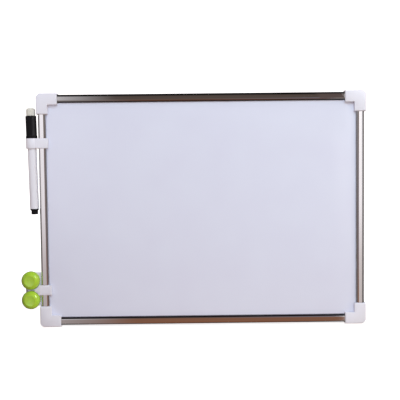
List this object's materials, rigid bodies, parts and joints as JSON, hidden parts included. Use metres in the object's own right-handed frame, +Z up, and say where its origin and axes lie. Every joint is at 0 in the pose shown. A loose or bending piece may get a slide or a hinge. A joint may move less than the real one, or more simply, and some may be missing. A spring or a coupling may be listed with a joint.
{
  "type": "magnetic whiteboard easel",
  "caption": "Framed magnetic dry-erase board that leans on a fold-out rear leg, with a sliding pen clip, capped marker with felt eraser and a clip-on holder with round magnets.",
  "frame": {"origin": "middle of the desk space that the easel covers, on the desk top", "axes": "+Z up, the front of the board looks towards -Y and up, +X to the right as seen from the front"},
  "size_m": [0.3686, 0.1021, 0.2416],
  "materials": {
    "white_lacquer": "gloss",
    "core_board": "matte",
    "back_lacquer": "satin",
    "rail_aluminium": "satin",
    "white_abs": "satin",
    "screw_steel": "satin",
    "barrel_white": "gloss",
    "marker_black": "satin",
    "nib_fibre": "matte",
    "eraser_felt": "matte",
    "lime_plastic": "gloss",
    "ferrite": "matte",
    "rivet_aluminium": "satin",
    "black_rubber": "matte"
  },
  "bodies": {
    "board": {"writing_sheet": "white_lacquer", "core_panel": "core_board", "back_sheet": "back_lacquer", "rail_top": "rail_aluminium", "rail_bottom": "rail_aluminium", "rail_left": "rail_aluminium", "rail_right": "rail_aluminium", "corner_top_left": "white_abs", "corner_top_right": "white_abs", "corner_bottom_left": "white_abs", "corner_bottom_right": "white_abs", "corner_screws": "screw_steel", "leg_bracket": "white_abs", "bracket_rivets": "rivet_aluminium", "leg_hinge_pin": "screw_steel"},
    "leg": {"stand_leg": "white_abs", "leg_foot": "black_rubber"},
    "pen_clip": {"pen_clip": "white_abs"},
    "marker": {"marker_barrel": "barrel_white", "marker_end_plug": "marker_black", "marker_front_section": "marker_black", "marker_nib": "nib_fibre", "ink_reservoir": "nib_fibre"},
    "marker_cap": {"marker_cap": "marker_black", "cap_eraser": "eraser_felt"},
    "magnet_holder": {"magnet_holder": "white_abs", "holder_keeper": "screw_steel"},
    "magnet_upper": {"magnet_cap_upper": "lime_plastic", "magnet_disc_upper": "ferrite"},
    "magnet_lower": {"magnet_cap_lower": "lime_plastic", "magnet_disc_lower": "ferrite"}
  },
  "joints": [
    {"name": "leg_fold", "type": "hinge", "parent": "board", "child": "leg", "pos_m": [0.00972, 0.01086, 0.15629], "axis": [1, 0, 0], "range_deg": [-29, 0]},
    {"name": "pen_clip_slide", "type": "slide", "parent": "board", "child": "pen_clip", "axis": [0, 0.2756, 0.9613], "range_m": [-0.034, 0.004]},
    {"name": "marker_lift", "type": "slide", "parent": "pen_clip", "child": "marker", "axis": [-0.0192, 0.2756, 0.9611], "range_m": [0, 0.082]},
    {"name": "cap_pull", "type": "slide", "parent": "marker", "child": "marker_cap", "axis": [-0.0192, 0.2756, 0.9611], "range_m": [0, 0.03]},
    {"name": "magnet_holder_slide", "type": "slide", "parent": "board", "child": "magnet_holder", "axis": [0, 0.2756, 0.9613], "range_m": [0, 0.026]},
    {"name": "magnet_upper_pull", "type": "slide", "parent": "magnet_holder", "child": "magnet_upper", "axis": [0, -0.9613, 0.2756], "range_m": [0, 0.03]},
    {"name": "magnet_lower_pull", "type": "slide", "parent": "magnet_holder", "child": "magnet_lower", "axis": [0, -0.9613, 0.2756], "range_m": [0, 0.03]}
  ]
}
